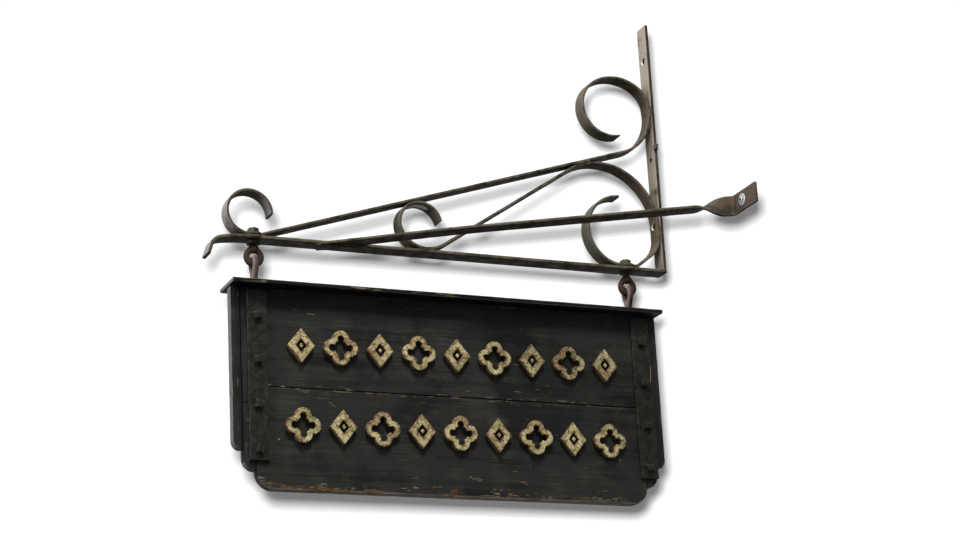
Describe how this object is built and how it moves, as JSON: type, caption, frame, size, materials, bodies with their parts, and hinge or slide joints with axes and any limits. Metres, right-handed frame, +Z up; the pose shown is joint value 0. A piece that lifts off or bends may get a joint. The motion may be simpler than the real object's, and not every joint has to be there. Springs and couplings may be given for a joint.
{
  "type": "double-sided hanging sign",
  "caption": "Double-sided wooden sign board with cap, iron straps and raised ornament, swinging from two pairs of interlocked eyes on a scrolled iron wall bracket with a twisted side stay.",
  "frame": {"origin": "on the wall plane, half way between the wall bar's two bolt holes, in the middle plane of bracket and board", "axes": "+X into the wall, so the arm and the board reach out along -X; +Z up; the side stay is on the -Y side"},
  "size_m": [0.8418, 0.372, 0.869],
  "materials": {
    "wrought_iron": "dark olive-brown iron with rust-brown patches and worn, paler edges",
    "rusty_iron": "dark brown iron, rubbed pinkish-brown where the eyes wear on each other",
    "zinc": "bright zinc-plated steel",
    "painted_wood": "weathered charcoal-black paint with olive-brown streaks along the grain and bare wood at the lower edge",
    "painted_iron": "thick, lumpy charcoal-black paint with small chips",
    "gilt": "flaking cream-gold paint over brown wood",
    "bare_wood": "plain unpainted wood, out of sight"
  },
  "bodies": {
    "bracket": {"wall_bar": "wrought_iron", "arm_bar": "wrought_iron", "tip_scroll_strip": "wrought_iron", "upper_run_strip": "wrought_iron", "top_scroll_strip": "wrought_iron", "foot_scroll_strip": "wrought_iron", "arch_strip": "wrought_iron", "diagonal_strip": "wrought_iron", "small_scroll_strip": "wrought_iron", "stay_bar": "wrought_iron", "stay_screw": "zinc", "stay_washer": "zinc", "left_eye_bolt": "rusty_iron", "right_eye_bolt": "rusty_iron", "left_eye_nut": "wrought_iron", "right_eye_nut": "wrought_iron", "left_eye_washer": "wrought_iron", "right_eye_washer": "wrought_iron"},
    "sign": {"left_sign_eye": "rusty_iron", "right_sign_eye": "rusty_iron", "cap_board": "painted_wood", "cap_nails": "painted_iron", "upper_plank": "painted_wood", "lower_plank": "painted_wood", "plank_tongue": "bare_wood", "left_outer_stile": "painted_wood", "right_outer_stile": "painted_wood", "left_inner_stile_upper": "painted_wood", "left_inner_stile_lower": "painted_wood", "right_inner_stile": "painted_wood", "left_stile_dowels": "bare_wood", "right_stile_dowels": "bare_wood", "front_left_strap": "painted_iron", "front_right_strap": "painted_iron", "rear_left_strap": "painted_iron", "rear_right_strap": "painted_iron", "left_strap_bolts": "painted_iron", "right_strap_bolts": "painted_iron", "left_strap_nuts": "painted_iron", "right_strap_nuts": "painted_iron", "front_upper_ornament": "gilt", "front_lower_ornament": "gilt", "rear_upper_ornament": "gilt", "rear_lower_ornament": "gilt"}
  },
  "joints": [
    {"name": "sign_swing", "type": "hinge", "parent": "bracket", "child": "sign", "pos_m": [-0.4045, 0, -0.282], "axis": [1, 0, 0], "range_deg": [-75, 75]}
  ]
}
